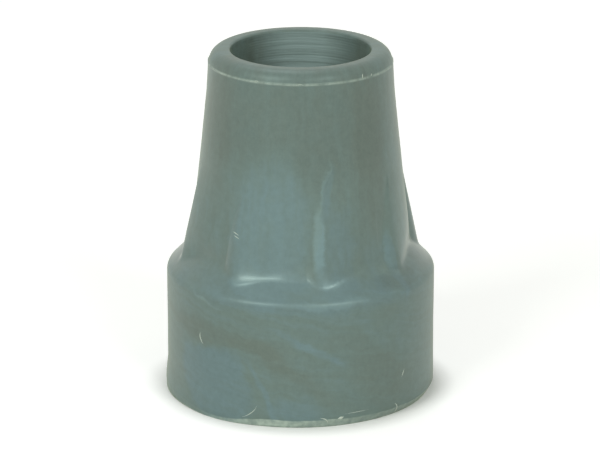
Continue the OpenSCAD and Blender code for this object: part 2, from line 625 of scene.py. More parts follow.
# %% [markdown]
# ## Root of the neck
#
# Just above the shoulder the neck's panels flare out a little, most of all in front and on
# one side of a rib, and a fillet joins them to the foot. That root catches the light as a
# bright leaf and a thin line, so its form matters more than its small size suggests. A bevel
# would give the same fillet all round. A smooth maximum of the two radii gives one whose size
# may change with the turn.

# %% Tree: how near a point's turn is to a feature
def turn_share(middle, core, spread):
    """1 where a point's turn is within the core round a middle turn, and 0 past the spread."""
    off = add(body_tree, "ShaderNodeMath", {0: known["turn"], 1: middle}, operation="SUBTRACT")
    wrapped = add(body_tree, "ShaderNodeMath", {0: off, 1: math.pi, 2: -math.pi}, operation="WRAP")
    away = add(body_tree, "ShaderNodeMath", {0: wrapped}, operation="ABSOLUTE")
    return add(
        body_tree, "ShaderNodeMapRange",
        {0: away, 1: core, 2: spread, 3: 1, 4: 0}, interpolation_type="SMOOTHSTEP",
    )


flare_share = turn_share(given["Flare Turn"], given["Flare Core"], given["Flare Spread"])
full_share = turn_share(given["Full Turn"], 0, given["Full Spread"])
crisp_share = turn_share(given["Crisp Turn"], given["Crisp Core"], given["Crisp Spread"])
print("nodes so far:", len(body_tree.nodes))

# %% Tree: flare the panels between the ribs, and join them to the foot
# The flare is weaker on a rib, by this share of it.
FLARE_LOST_ON_RIB = 0.25
clear = add(body_tree, "ShaderNodeMath", {0: straight, 1: known["foot_reach"]}, operation="SUBTRACT")
above = add(body_tree, "ShaderNodeMath", {0: clear, 1: given["Foot Flare"]}, operation="ADD")
nearer = add(body_tree, "ShaderNodeMapRange", {0: above, 1: 0, 2: given["Flare Height"], 3: 1, 4: 0})
curved = add(body_tree, "ShaderNodeMath", {0: nearer, 1: 2}, operation="POWER")
between_ribs = add(
    body_tree, "ShaderNodeMath",
    {0: section, 1: -FLARE_LOST_ON_RIB, 2: 1}, operation="MULTIPLY_ADD",
)
fuller = add(
    body_tree, "ShaderNodeMath",
    {0: full_share, 1: given["Fullness"], 2: between_ribs}, operation="MULTIPLY_ADD",
)
flare_size = add(body_tree, "ShaderNodeMath", {0: flare_share, 1: fuller}, operation="MULTIPLY")
flare_here = add(body_tree, "ShaderNodeMath", {0: curved, 1: flare_size}, operation="MULTIPLY")
root_blend = add(
    body_tree, "ShaderNodeMix",
    {"Factor": crisp_share, "A": given["Soft Root"], "B": given["Crisp Root"]}, data_type="FLOAT",
)
neck_and_rib = add(
    body_tree, "ShaderNodeMath",
    {0: flare_here, 1: given["Foot Flare"], 2: straight}, operation="MULTIPLY_ADD",
)
with_foot = add(
    body_tree, "ShaderNodeMath",
    {0: known["foot_reach"], 1: neck_and_rib, 2: root_blend}, operation="SMOOTH_MAX",
)
formed = add(
    body_tree, "ShaderNodeMix",
    {"Factor": known["ribbed"], "A": known["reach"], "B": with_foot}, data_type="FLOAT",
)
print("nodes so far:", len(body_tree.nodes))

# %% [markdown]
# ## What the press leaves behind
#
# Rubber is pressed hot, so it doesn't copy the mould perfectly: the surface is very slightly
# uneven. A thin fin of flash is left where the two halves of the mould met, and the edge at
# the ground was trimmed by hand, so its line dips and leans a little. These could be a bump
# in the material, but they show against the light, so they are part of the shape.
#
# Each unevenness is a noise on the skin. Its scale is how many of its swells fit in a
# millimetre, so 0.16 gives swells about 6 mm apart. The noise is laid on a cylinder as wide
# as the parting line, so round the foot its swells are about half as wide again.

# %% Tree: unevenness of the pressed surface
SWELLS_PER_MM = 0.16
ring_mm = add(body_tree, "ShaderNodeVectorMath", {0: outwards, "Scale": PARTING_R}, operation="SCALE")
height_mm = add(body_tree, "ShaderNodeMath", {0: known["height"], 1: 1 / MM}, operation="MULTIPLY")
up_mm = add(body_tree, "ShaderNodeCombineXYZ", {"Z": height_mm})
place_mm = add(body_tree, "ShaderNodeVectorMath", {0: ring_mm, 1: up_mm}, operation="ADD")
swell = add(
    body_tree, "ShaderNodeTexNoise",
    {"Vector": place_mm, "Scale": SWELLS_PER_MM, "Detail": 1.5},
)
swell_signed = add(body_tree, "ShaderNodeMath", {0: swell, 1: 0.5}, operation="SUBTRACT")
swell_size = add(
    body_tree, "ShaderNodeMath",
    {0: swell_signed, 1: given["Unevenness"]}, operation="MULTIPLY",
)
swollen = add(
    body_tree, "ShaderNodeMath",
    {0: swell_size, 1: known["outside"], 2: formed}, operation="MULTIPLY_ADD",
)
print("swells", round(1 / SWELLS_PER_MM, 1), "mm apart")

# %% Tree: fin of flash at the parting line
# The fin is thicker and thinner along the line, between these shares of its size, and
# wanders up and down.
FINS_PER_MM = 0.5
FIN_THIN = 0.15
FIN_THICK = 0.85
fin_noise = add(
    body_tree, "ShaderNodeTexNoise",
    {"Vector": ring_mm, "Scale": FINS_PER_MM, "Detail": 5, "Roughness": 0.7},
)
fin_share = add(
    body_tree, "ShaderNodeMapRange",
    {0: fin_noise, 1: 0.35, 2: 0.65, 3: FIN_THIN, 4: FIN_THICK},
)
fin_mark = add(body_tree, "ShaderNodeMath", {0: fin_share, 1: known["at_parting"]}, operation="MULTIPLY")
with_fin = add(
    body_tree, "ShaderNodeMath",
    {0: fin_mark, 1: given["Flash"], 2: swollen}, operation="MULTIPLY_ADD",
)
wander_signed = add(body_tree, "ShaderNodeMath", {0: fin_noise, 1: 0.5}, operation="SUBTRACT")
wander_size = add(body_tree, "ShaderNodeMath", {0: wander_signed, 1: given["Flash"]}, operation="MULTIPLY")
wandered = add(
    body_tree, "ShaderNodeMath",
    {0: wander_size, 1: known["at_parting"], 2: known["height"]}, operation="MULTIPLY_ADD",
)
flash_mm = BODY_SIZES["Flash"] / MM
print(f"fin of flash {FIN_THIN * flash_mm:.3f} to {FIN_THICK * flash_mm:.3f} mm proud")

# %% Tree: trim line, which wavers all round and dips at one turn
WAVES_PER_MM = 0.25
WAVE_SHARE = 0.8
dip_share = turn_share(given["Dip Turn"], 0, given["Dip Spread"])
edge_noise = add(body_tree, "ShaderNodeTexNoise", {"Vector": ring_mm, "Scale": WAVES_PER_MM, "Detail": 4})
edge_signed = add(body_tree, "ShaderNodeMath", {0: edge_noise, 1: 0.5}, operation="SUBTRACT")
dip_full = add(
    body_tree, "ShaderNodeMath",
    {0: edge_signed, 1: WAVE_SHARE, 2: dip_share}, operation="MULTIPLY_ADD",
)
dip = add(body_tree, "ShaderNodeMath", {0: dip_full, 1: given["Trim Dip"]}, operation="MULTIPLY")
dip_here = add(body_tree, "ShaderNodeMath", {0: dip, 1: known["at_trim"]}, operation="MULTIPLY")
final_height = add(body_tree, "ShaderNodeMath", {0: wandered, 1: dip_here}, operation="SUBTRACT")
dip_mm = BODY_SIZES["Trim Dip"] / MM
print(f"trim line dips by {dip_mm:.2f} mm, give or take {WAVE_SHARE / 2 * dip_mm:.2f} mm at most")

# %% Tree: cut face under the trim line, which leans in on one side and is rough
# Across the tip, -1 is its left side and 1 its right. To the right of this share the knife
# leaned in, and to the left of it, out. The flare above is cut back more towards the right.
LEAN_FROM = 0.3
CUTS_PER_MM = 1.6
lean_side = add(body_tree, "ShaderNodeMath", {0: across, 1: LEAN_FROM}, operation="SUBTRACT")
dip_side = add(body_tree, "ShaderNodeMath", {0: lean_side, 1: dip_share}, operation="SUBTRACT")
ground_lean = add(body_tree, "ShaderNodeMath", {0: dip_side, 1: known["at_ground"]}, operation="MULTIPLY")
flare_side = add(body_tree, "ShaderNodeMath", {0: across, 1: 0.5, 2: 0.5}, operation="MULTIPLY_ADD")
flare_lean = add(body_tree, "ShaderNodeMath", {0: flare_side, 1: known["at_flare"]}, operation="MULTIPLY")
lean_share = add(body_tree, "ShaderNodeMath", {0: ground_lean, 1: flare_lean}, operation="ADD")
lean = add(body_tree, "ShaderNodeMath", {0: lean_share, 1: given["Trim Lean"]}, operation="MULTIPLY")
leaned = add(body_tree, "ShaderNodeMath", {0: with_fin, 1: lean}, operation="SUBTRACT")
cut_noise = add(body_tree, "ShaderNodeTexNoise", {"Vector": place_mm, "Scale": CUTS_PER_MM, "Detail": 2})
cut_size = add(body_tree, "ShaderNodeMath", {0: cut_noise, 1: given["Cut Roughness"]}, operation="MULTIPLY")
cut_here = add(body_tree, "ShaderNodeMath", {0: cut_size, 1: known["cut_edge"]}, operation="MULTIPLY")
final_reach = add(body_tree, "ShaderNodeMath", {0: leaned, 1: cut_here}, operation="SUBTRACT")
set_in_right = (1 - LEAN_FROM + 1) * BODY_SIZES["Trim Lean"] / MM
print(f"ground edge set in by {set_in_right:.2f} mm at the right, before its roughness")

# %% Tree: place the points, and mark what the material has to find
# The cut shows palest in front. It is darker towards the left, and by half at the right.
flat_place = add(body_tree, "ShaderNodeVectorMath", {0: outwards, "Scale": final_reach}, operation="SCALE")
up = add(body_tree, "ShaderNodeCombineXYZ", {"Z": final_height})
place = add(body_tree, "ShaderNodeVectorMath", {0: flat_place, 1: up}, operation="ADD")
cut_depth = add(body_tree, "ShaderNodeMapRange", {0: across, 1: -0.75, 2: -0.3, 3: 0.1, 4: 1})
cut_paling = add(body_tree, "ShaderNodeMapRange", {0: across, 1: 0.1, 2: 0.45, 3: 1, 4: 0.5})
cut_strength = add(body_tree, "ShaderNodeMath", {0: cut_depth, 1: cut_paling}, operation="MULTIPLY")
cut_face = add(body_tree, "ShaderNodeMath", {0: cut_strength, 1: known["cut_edge"]}, operation="MULTIPLY")
cut_shown = add(body_tree, "ShaderNodeMath", {0: cut_face, 1: known["cut_lip"]}, operation="MAXIMUM")
marked = skin
MARKS = {"flash_mark": fin_mark, "cut_mark": cut_shown, "socket_mark": known["socket_wall"]}
for name, mark in MARKS.items():
    marked = add(
        body_tree, "GeometryNodeStoreNamedAttribute",
        {"Geometry": marked, "Name": name, "Value": mark}, data_type="FLOAT", domain="POINT",
    )
placed = add(body_tree, "GeometryNodeSetPosition", {"Geometry": marked, "Position": place})
print("marks:", ", ".join(MARKS))

# %% Tree: close the poles and the seam, turn the faces outwards and finish
closed = add(body_tree, "GeometryNodeMergeByDistance", {"Geometry": placed, "Distance": 0.001 * MM})
faced_out = add(body_tree, "GeometryNodeFlipFaces", {"Mesh": closed})
smooth = add(body_tree, "GeometryNodeSetShadeSmooth", {"Geometry": faced_out})
realized = add(body_tree, "GeometryNodeRealizeInstances", {"Geometry": smooth})
coated = add(body_tree, "GeometryNodeSetMaterial", {"Geometry": realized, "Material": given["Material"]})
add(body_tree, "NodeGroupOutput", {"Geometry": coated})
print("nodes in the tree:", len(body_tree.nodes))

# %% [markdown]
# ## Marbled rubber
#
# The tip is moulded from a filled natural rubber compound, slate grey with a green cast. The fillers were
# never fully mixed, so weak bluish and brownish clouds show in it, drawn out along the way the rubber
# flowed: upwards in the neck, and slanting round the foot. Pale and dark marks of the same kind are painted
# highlights and painted shade on the ribs, the neck and its root, the shoulder and the crown. An image
# could hold all that, but the marks are few and soft, so each is listed as an ellipse on the unrolled skin,
# and noise bends their edges. The same ellipses are used again on the far side, where the noise bends them
# another way.
#
# The surface is matt but not dull. It copies a bead-blasted mould, which gives it broad, weak highlights
# and a faint sheen at a low angle. Flash and the trimmed edge are paler, because stretched and cut rubber
# scatters light. The socket was formed round a turned core, and keeps the fine rings of its tool marks,
# with dust in them, and a paler grey paints light onto the middle of its far wall.
#
# A pattern's scale is how many of its features fit in a millimetre: clouds of 4.5 mm, specks
# of 0.9 mm, a blasted grain of 0.45 mm. Real grit is ten times finer than that grain, but it
# wouldn't show at this size.

# %% Colours and a helper for them
def linear(hex_code):
    """An sRGB hex colour as the linear values that a shader takes."""
    channels = [int(hex_code[i:i + 2], 16) / 255 for i in (1, 3, 5)]
    return [c / 12.92 if c <= 0.04045 else ((c + 0.055) / 1.055) ** 2.4 for c in channels] + [1]


BROWN_GREY = linear("#69756D")
SLATE_GREY = linear("#697A75")
BLUE_GREY = linear("#697E80")
PALE_EDGE = linear("#B0BEB2")
DUST_AND_LIGHT_GREY = linear("#9CB0AF")
SHAVED_GREY = linear("#C2CBC0")
print("slate grey is", [round(value, 3) for value in SLATE_GREY[:3]])


def new_finish(name):
    """A material with an empty node tree, and the tree."""
    finish = bpy.data.materials.new(name)
    finish.use_nodes = True
    finish.node_tree.nodes.clear()
    return finish, finish.node_tree


# %% Places on the skin: turn in degrees and height in millimetres
# The noise bends the edges of the clouds by up to half of this many degrees and millimetres.
CLOUDS_PER_MM = 0.22
BEND = (12, 3, 0)
rubber, paint = new_finish("marbled_natural_rubber")
spot = add(paint, "ShaderNodeTexCoord").outputs["Object"]
spot_mm = add(paint, "ShaderNodeMapping", {"Vector": spot, "Scale": (1 / MM, 1 / MM, 1 / MM)})
parts = add(paint, "ShaderNodeSeparateXYZ", {"Vector": spot_mm}).outputs
front = add(paint, "ShaderNodeMath", {0: parts["Y"], 1: -1}, operation="MULTIPLY")
turned = add(paint, "ShaderNodeMath", {0: parts["X"], 1: front}, operation="ARCTAN2")
degrees = add(paint, "ShaderNodeMath", {0: turned, 1: 180 / math.pi}, operation="MULTIPLY")
half_turn = add(paint, "ShaderNodeMath", {0: degrees, 1: 90, 2: -90}, operation="WRAP")
unrolled = add(paint, "ShaderNodeCombineXYZ", {"X": half_turn, "Y": parts["Z"]})
drift = add(
    paint, "ShaderNodeTexNoise",
    {"Vector": spot_mm, "Scale": CLOUDS_PER_MM, "Detail": 5, "Roughness": 0.6},
)
drift_signed = add(
    paint, "ShaderNodeVectorMath",
    {0: drift.outputs["Color"], 1: (0.5, 0.5, 0.5)}, operation="SUBTRACT",
)
bent = add(
    paint, "ShaderNodeVectorMath",
    {0: drift_signed, 1: BEND, 2: unrolled}, operation="MULTIPLY_ADD",
)
print("nodes that find a place:", len(paint.nodes))

# %% Clouds, painted highlights and painted shade
# Each is its turn and height, half its width in degrees, half its height, its slant in degrees, how soft
# its edge is, its tone, which is bluish above 0 and brownish below, and how much lighter or darker it makes
# the rubber. Those with no tone are painted highlights, painted light and painted shade.
CLOUDS_AND_PAINTED_LIGHT = [
    (-17, 27, 21.5, 10, 0, 0.22, 0.75, 0.09),
    # painted shade: the crown is darker all round
    (0, 47.6, 95, 1.1, 0, 0.3, 0, -0.09),
    (18, 23, 10, 6, 0, 0.5, 0.6, 0),
    (15, 32, 2.2, 4.5, -40, 0.4, 0.6, 0),
    # painted highlight: a thin light line near the point of the first rib
    (13.0, 32, 0.5, 4.4, -44, 0.6, 0, 0.14),
    (0, 18.0, 62, 2.0, 0, 0.5, 0.7, 0),
    # painted highlight, slightly bluish: the lit left side of the first rib
    (9.2, 25.0, 3.2, 4.5, -12, 0.35, 0.4, 0.27),
    (51, 20.8, 2.8, 4.0, 0, 0.4, 0.75, 0.03),
    (43, 37, 12, 11, -10, 0.5, -0.8, -0.03),
    (-60, 40, 16, 10, 10, 0.5, -0.6, 0),
    (-41, 4.8, 20, 4.8, -4, 0.14, 0.9, -0.02),
    (-35.5, 8.3, 11, 2.3, 2, 0.25, 0.9, -0.01),
    (-43, 11.6, 30, 1.4, -2, 0.5, -0.8, -0.05),
    (-7, 8.4, 20, 1.2, -13, 0.6, -0.6, -0.03),
    (-16, 4.8, 9, 0.9, -32, 0.6, 0.8, 0.03),
    (-4, 12.4, 9, 0.55, -8, 0.6, 0.5, 0.04),
    (9, 10.3, 10, 0.6, -10, 0.7, 0.8, 0.05),
    (-2, 2.3, 12, 1.6, 0, 0.5, 0.8, 0),
    (33, 12.0, 16, 1.0, -16, 0.6, 0.3, 0.03),
    # painted shade, also browner: the upper neck darker all round
    (0, 40.5, 95, 7.0, 0, 0.4, -0.35, -0.075),
    # painted highlight: the left tail of the highlight on the shoulder's edge
    (-45.5, 16.45, 8.5, 0.25, -3.4, 0.6, 0, 0.2),
    # painted highlight along the shoulder's edge in front
    (12, 17.2, 13, 0.45, 0, 0.6, 0, 0.2),
    # painted highlight at the left end of the bright leaf in the neck's root
    (-29, 19.5, 4.5, 0.45, 0, 0.6, 0, 0.17),
    # painted highlight: the streak along the foot of the first rib's right side
    (15.5, 19.25, 4.5, 0.3, 3, 0.6, 0, 0.16),
    # painted light on the shoulder's slope in front
    (8, 18.7, 13, 1.1, 0, 0.5, 0, 0.08),
    # painted light on the right side of the neck
    (67, 26, 8, 5.5, 0, 0.5, 0, 0.08),
    # painted shade on the shoulder at the right
    (52, 18.8, 13, 1.3, 0, 0.5, 0, -0.16),
    # painted shade, slightly browner: the front of the upper neck darker
    (9, 40, 16, 8, 0, 0.5, -0.1, -0.035),
    (38, 6.5, 15, 5, -12, 0.5, -0.5, -0.03),
]
print("clouds and painted_light:", len(CLOUDS_AND_PAINTED_LIGHT))

# %% Lay the clouds over a faint marbling
vein = add(
    paint, "ShaderNodeTexNoise",
    {"Vector": spot_mm, "Scale": CLOUDS_PER_MM, "Detail": 5, "Roughness": 0.55, "Distortion": 0.8},
)
tone = add(paint, "ShaderNodeMapRange", {0: vein, 1: 0.2, 2: 0.8, 3: -0.4, 4: 0.4})
shade = 0.0
for turn_at, height_at, half_width, half_height, slant, softness, blueness, lighter_by in CLOUDS_AND_PAINTED_LIGHT:
    centred = add(
        paint, "ShaderNodeMapping",
        {
            "Vector": bent,
            "Location": (turn_at, height_at, 0),
            "Rotation": (0, 0, math.radians(slant)),
            "Scale": (half_width, half_height, 1),
        },
        vector_type="TEXTURE",
    )
    away = add(paint, "ShaderNodeVectorMath", {0: centred}, operation="LENGTH")
    within = add(
        paint, "ShaderNodeMapRange",
        {0: away.outputs["Value"], 1: 1 + softness, 2: 1 - softness, 3: 0, 4: 1},
        interpolation_type="SMOOTHSTEP",
    )
    tone = add(paint, "ShaderNodeMath", {0: within, 1: blueness, 2: tone}, operation="MULTIPLY_ADD")
    shade = add(paint, "ShaderNodeMath", {0: within, 1: lighter_by, 2: shade}, operation="MULTIPLY_ADD")
print("nodes with the clouds:", len(paint.nodes))

# %% Flow lines: slanting on the foot, upright on the neck
# Real flow lines are finer. These are drawn about 0.9 mm apart on the foot and 1.2 mm on the
# neck, as coarse as they need to be to show, and are long in the other direction. A degree
# round the foot is about 0.3 mm, and less round the neck.
MM_PER_DEGREE = 0.3
FOOT_LINES = (0.06, 1.1)
FOOT_SLANT = 11
NECK_LINES = (0.7, 0.07)
LINE_TONE = 1.5


def flow_lines(lines_round, lines_up, slant):
    """Streaks in the unrolled skin, with their number per millimetre round and up."""
    laid = add(paint, "ShaderNodeVectorMath", {0: bent, 1: (MM_PER_DEGREE, 1, 0)}, operation="MULTIPLY")
    leaned = add(
        paint, "ShaderNodeVectorRotate",
        {"Vector": laid, "Angle": math.radians(slant)}, rotation_type="Z_AXIS",
    )
    drawn = add(
        paint, "ShaderNodeVectorMath",
        {0: leaned, 1: (lines_round, lines_up, 0)}, operation="MULTIPLY",
    )
    return add(paint, "ShaderNodeTexNoise", {"Vector": drawn, "Scale": 1, "Detail": 4, "Roughness": 0.65})


foot_lines = flow_lines(*FOOT_LINES, FOOT_SLANT)
neck_lines = flow_lines(*NECK_LINES, 0)
on_neck = add(paint, "ShaderNodeMapRange", {0: parts["Z"], 1: 18, 2: 22, 3: 0, 4: 1})
lines = add(
    paint, "ShaderNodeMix",
    {"Factor": on_neck, "A": foot_lines, "B": neck_lines}, data_type="FLOAT",
)
lines_signed = add(paint, "ShaderNodeMath", {0: lines, 1: 0.5}, operation="SUBTRACT")
tone = add(paint, "ShaderNodeMath", {0: lines_signed, 1: LINE_TONE, 2: tone}, operation="MULTIPLY_ADD")
neck_narrowed = math.radians(neck_r(30)) / MM_PER_DEGREE
print(f"flow lines on the foot {1 / FOOT_LINES[1]:.1f} mm apart")
print(f"flow lines on the neck {neck_narrowed / NECK_LINES[0]:.1f} mm apart")

# %% Specks of filler, and how bright the rubber is
SPECKS_PER_MM = 1.1
SPECK_SHADE = 0.37
LINE_SHADE = 0.2
mottle = add(
    paint, "ShaderNodeTexNoise",
    {"Vector": spot_mm, "Scale": SPECKS_PER_MM, "Detail": 4, "Roughness": 0.7},
)
mottle_signed = add(paint, "ShaderNodeMath", {0: mottle, 1: 0.5}, operation="SUBTRACT")
lines_shade = add(
    paint, "ShaderNodeMath",
    {0: lines_signed, 1: LINE_SHADE, 2: shade}, operation="MULTIPLY_ADD",
)
all_shade = add(
    paint, "ShaderNodeMath",
    {0: mottle_signed, 1: SPECK_SHADE, 2: lines_shade}, operation="MULTIPLY_ADD",
)
brightness = add(paint, "ShaderNodeMath", {0: all_shade, 1: 1}, operation="ADD")
print("specks", round(1 / SPECKS_PER_MM, 1), "mm apart")

# %% Colour: marbling, and the paler flash and cut edge
TEARS_PER_MM = 1.3
share_of_blue = add(paint, "ShaderNodeMapRange", {0: tone, 1: -1, 2: 1, 3: 0, 4: 1})
marbled = add(paint, "ShaderNodeValToRGB", {"Fac": share_of_blue})
ramp = marbled.color_ramp
ramp.elements[0].color = BROWN_GREY
ramp.elements[1].color = BLUE_GREY
ramp.elements.new(0.5).color = SLATE_GREY
shaded = add(paint, "ShaderNodeHueSaturation", {"Value": brightness, "Color": marbled})

flash_mark = add(paint, "ShaderNodeAttribute", attribute_name="flash_mark")
cut_mark = add(paint, "ShaderNodeAttribute", attribute_name="cut_mark")
torn = add(paint, "ShaderNodeTexNoise", {"Vector": spot_mm, "Scale": TEARS_PER_MM, "Detail": 4})
torn_share = add(paint, "ShaderNodeMapRange", {0: torn, 1: 0.35, 2: 0.65, 3: 0.45, 4: 1})
cut_part = add(paint, "ShaderNodeMath", {0: cut_mark.outputs["Fac"], 1: torn_share}, operation="MULTIPLY")
pale = add(paint, "ShaderNodeMath", {0: flash_mark.outputs["Fac"], 1: cut_part}, operation="MAXIMUM")
edged = add(paint, "ShaderNodeMix", {"Factor": pale, "A": shaded, "B": PALE_EDGE}, data_type="RGBA")
print("colours of the marbling:", len(ramp.elements))

# %% Dust and painted light in the socket, streaked along the rings
# The paler grey stands for dust and also for painted light on the socket's far wall, which the lamps leave
# too dark. It lies in front of and behind the axis, and thins out to the sides.
DUST_STREAKS = (0.05, 0.05, 1.6)
LIGHT_AND_DUST_MIDDLE = 0.5
LIT_MIDDLE_TO = 2.5
SHADED_SIDES_FROM = 7.5
socket_mark = add(paint, "ShaderNodeAttribute", attribute_name="socket_mark")
ringed = add(paint, "ShaderNodeVectorMath", {0: spot_mm, 1: DUST_STREAKS}, operation="MULTIPLY")
dust = add(paint, "ShaderNodeTexNoise", {"Vector": ringed, "Scale": 1, "Detail": 4, "Roughness": 0.7})
dust_share = add(paint, "ShaderNodeMapRange", {0: dust, 1: 0.35, 2: 0.65, 3: 0.35, 4: 1})
off_middle = add(paint, "ShaderNodeMath", {0: parts["X"], 1: LIGHT_AND_DUST_MIDDLE}, operation="SUBTRACT")
off_size = add(paint, "ShaderNodeMath", {0: off_middle}, operation="ABSOLUTE")
lit_middle = add(paint, "ShaderNodeMapRange", {0: off_size, 1: LIT_MIDDLE_TO, 2: SHADED_SIDES_FROM, 3: 1, 4: 0})
dust_and_light_here = add(paint, "ShaderNodeMath", {0: dust_share, 1: lit_middle}, operation="MULTIPLY")
socket_dust_and_light = add(paint, "ShaderNodeMath", {0: dust_and_light_here, 1: socket_mark.outputs["Fac"]}, operation="MULTIPLY")
colour = add(paint, "ShaderNodeMix", {"Factor": socket_dust_and_light, "A": edged, "B": DUST_AND_LIGHT_GREY}, data_type="RGBA")
print("nodes for the colour:", len(paint.nodes))

# %% Relief: blasted grain outside, turned rings in the socket
# The rings of a real core are nearer 0.1 mm apart, and are drawn coarser so that they show.
RING_PITCH = 0.36
RING_SHARE = 0.6
GRAINS_PER_MM = 2.2
RELIEF = 0.02
grain = add(
    paint, "ShaderNodeTexNoise",
    {"Vector": spot_mm, "Scale": GRAINS_PER_MM, "Detail": 3, "Roughness": 0.6},
)
ring_turn = add(paint, "ShaderNodeMath", {0: parts["Z"], 1: math.tau / RING_PITCH}, operation="MULTIPLY")
rings = add(paint, "ShaderNodeMath", {0: ring_turn}, operation="SINE")
ring_part = add(paint, "ShaderNodeMath", {0: rings, 1: socket_mark.outputs["Fac"]}, operation="MULTIPLY")
relief = add(paint, "ShaderNodeMath", {0: ring_part, 1: RING_SHARE, 2: grain}, operation="MULTIPLY_ADD")
raised = add(paint, "ShaderNodeBump", {"Strength": 0.5, "Distance": RELIEF * MM, "Height": relief})
print("rings", RING_PITCH, "mm apart, grain", round(1 / GRAINS_PER_MM, 2), "mm")

# %% Gloss: the blasting of the mould hardly reached the root of the neck
# Each step is the heights where it starts and ends, and its roughness there. The steps are
# added up, so the foot's 0.43 falls to 0.28 in the root and is 0.38 on the neck.
GLOSS_STEPS = [
    (16.6, 18.6, 0.43, 0.28),
    (21, 28, 0, 0.1),
    (46, 46.4, 0, 0.06),
]
dulled = []
for start, end, before, after in GLOSS_STEPS:
    dulled.append(add(
        paint, "ShaderNodeMapRange",
        {0: parts["Z"], 1: start, 2: end, 3: before, 4: after}, interpolation_type="SMOOTHSTEP",
    ))
below_crown = add(paint, "ShaderNodeMath", {0: dulled[0], 1: dulled[1]}, operation="ADD")
roughness = add(paint, "ShaderNodeMath", {0: below_crown, 1: dulled[2]}, operation="ADD")
print("roughness of the crown:", round(sum(after for _, _, _, after in GLOSS_STEPS), 2))

# %% Surface of the rubber
# Rubber's IOR is 1.52. The sheen stands for the fine bloom that lightens a side seen at a low
# angle, and is yellowish as bloom is.
surface = add(
    paint, "ShaderNodeBsdfPrincipled",
    {
        "Base Color": colour,
        "Roughness": roughness,
        "IOR": 1.52,
        "Specular Tint": (0.8, 1.0, 0.97, 1.0),
        "Sheen Weight": 0.09,
        "Sheen Roughness": 0.3,
        "Sheen Tint": (0.9, 0.95, 0.05, 1.0),
        "Normal": raised,
    },
)
add(paint, "ShaderNodeOutputMaterial", {"Surface": surface})
print("material:", rubber.name, "with", len(paint.nodes), "nodes")

# %% Shape the body and turn it into a plain mesh
def apply_tree(piece, tree, values):
    """Run a node tree on a piece and keep its result as the piece's own plain mesh."""
    modifier = piece.modifiers.new(tree.name, "NODES")
    modifier.node_group = tree
    for item in tree.interface.items_tree:
        if item.in_out == "INPUT" and item.name in values:
            modifier[item.identifier] = values[item.name]
    evaluated = piece.evaluated_get(bpy.context.evaluated_depsgraph_get())
    mesh = bpy.data.meshes.new_from_object(evaluated)
    mesh.name = piece.name
    piece.modifiers.remove(modifier)
    piece.data = mesh
    return piece


apply_tree(tip, body_tree, {**BODY_SIZES, "Material": rubber})
for name in [*rows[0], "turn"]:
    spent = tip.data.attributes.get(name)
    if spent:
        tip.data.attributes.remove(spent)
triangles = sum(len(face.vertices) - 2 for face in tip.data.polygons)
widest = max(math.hypot(point.co.x, point.co.y) for point in tip.data.vertices)
print("tip:", len(tip.data.vertices), "points,", triangles, "triangles")
print(f"widest reach {widest / MM:.2f} mm, where the packed part has {TRIM_R:.2f} mm")

# %% [markdown]
# ## Shavings and nicks
#
# Where the flash was cut off, short curls of rubber still cling to the trimmed edge and the
# parting line, and the wall has a few raised nicks. Each is a short path on the skin, and a
# tube follows a path, so a small node tree draws them all: it smooths each path and gives it
# a thickness that tapers off at both ends. They could be painted, but the curls stand out
# from the skin and catch the light. A ray shot at the finished skin finds where each point
# of a path lies. Stretched, torn rubber is pale and matt, so they have a material of their
# own.

# %% Places of the shavings
# Each is its thickness in millimetres, and then the turn and the height of each point of its
# path.
SHAVINGS = [
    (0.13, [(-47.5, 11.6), (-47.7, 11.0), (-46.8, 10.4), (-45.8, 10.0)]),
    (0.11, [(-18.7, 2.85), (-19.5, 2.3), (-21.2, 1.75), (-23.2, 1.3), (-25.1, 1.05)]),
    (0.15, [(8.2, 1.4), (10.3, 1.2), (11.2, 0.9), (11.6, 0.5)]),
    (0.36, [(15.7, 1.1), (17.0, 1.2), (18.3, 1.3)]),
    (0.17, [(43.8, 1.7), (45.0, 1.3), (45.4, 0.7), (45.0, 0.15)]),
    (0.12, [(49.9, 6.1), (49.0, 5.6), (48.2, 5.1)]),
    (0.07, [(19.0, 1.7), (24.0, 1.75), (29.7, 1.8)]),
    (0.12, [(-38.0, 25.5), (-35.8, 25.4), (-33.6, 25.2)]),
    (0.10, [(-37.2, 25.05), (-35.2, 24.95), (-33.0, 24.75)]),
    (0.12, [(41.3, 46.15), (41.6, 46.5), (41.9, 46.75)]),
    (0.12, [(48.8, 46.1), (49.4, 46.35), (49.9, 46.45)]),
    (0.08, [(-30.0, 46.15), (-28.0, 46.25), (-26.5, 46.2)]),
    (0.07, [(-3.0, 46.1), (0.0, 46.15), (2.5, 46.05)]),
    (0.12, [(151.0, 1.3), (153.0, 1.1), (154.0, 0.6)]),
    (0.11, [(-128.0, 1.5), (-130.0, 1.1), (-130.5, 0.7)]),
    (0.10, [(96.0, 9.4), (97.5, 8.8), (97.2, 8.0)]),
]
print("shavings:", len(SHAVINGS))

# %% Find a place on the finished skin
corners = [tuple(point.co) for point in tip.data.vertices]
skin_lookup = BVHTree.FromPolygons(corners, [tuple(face.vertices) for face in tip.data.polygons])


def on_skin(turn_degrees, height):
    """The point of the finished skin at a turn and a height."""
    at_turn = math.radians(turn_degrees)
    outward = Vector((math.sin(at_turn), -math.cos(at_turn), 0))
    start = outward * (2 * TRIM_R * MM) + Vector((0, 0, height * MM))
    return skin_lookup.ray_cast(start, -outward)[0]


print("front of the foot, 5 mm up:", tuple(round(value, 5) for value in on_skin(0, 5)))

